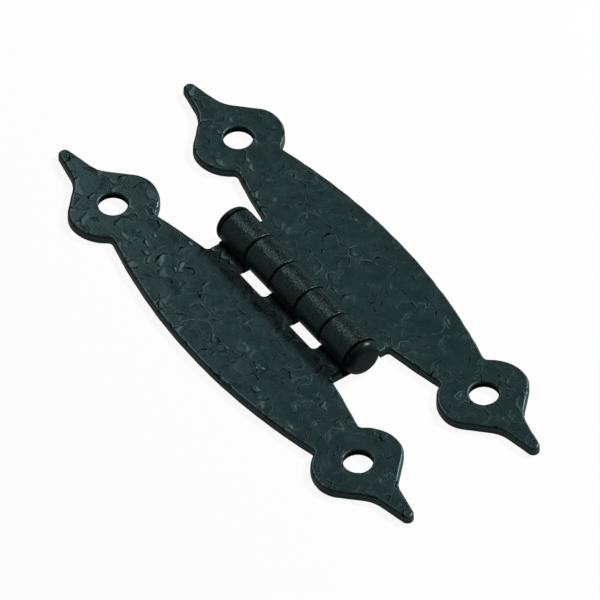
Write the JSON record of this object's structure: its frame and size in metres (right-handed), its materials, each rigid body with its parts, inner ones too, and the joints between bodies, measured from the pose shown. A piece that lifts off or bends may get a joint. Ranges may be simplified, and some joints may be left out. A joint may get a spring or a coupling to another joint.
{
  "type": "surface hinge",
  "caption": "H-shaped surface hinge: hammered black sheet-steel leaves with spear-shaped ends and a screw hole in each end, joined by rolled knuckles on a riveted pin.",
  "frame": {"origin": "on the plane of the leaves' back faces, under the middle of the pin", "axes": "+X along the pin towards its formed head, +Y across from the three-knuckle leaf to the two-knuckle leaf, +Z out of the front face"},
  "size_m": [0.089, 0.0376, 0.0061],
  "materials": {
    "leaf_paint": "satin",
    "pin_paint": "satin"
  },
  "bodies": {
    "fixed_leaf": {"three_knuckle_leaf": "leaf_paint", "hinge_pin": "pin_paint"},
    "swing_leaf": {"two_knuckle_leaf": "leaf_paint"}
  },
  "joints": [
    {"name": "leaf_swing", "type": "hinge", "parent": "fixed_leaf", "child": "swing_leaf", "pos_m": [0, 0, 0.00305], "axis": [1, 0, 0], "range_deg": [-98, 188]}
  ]
}
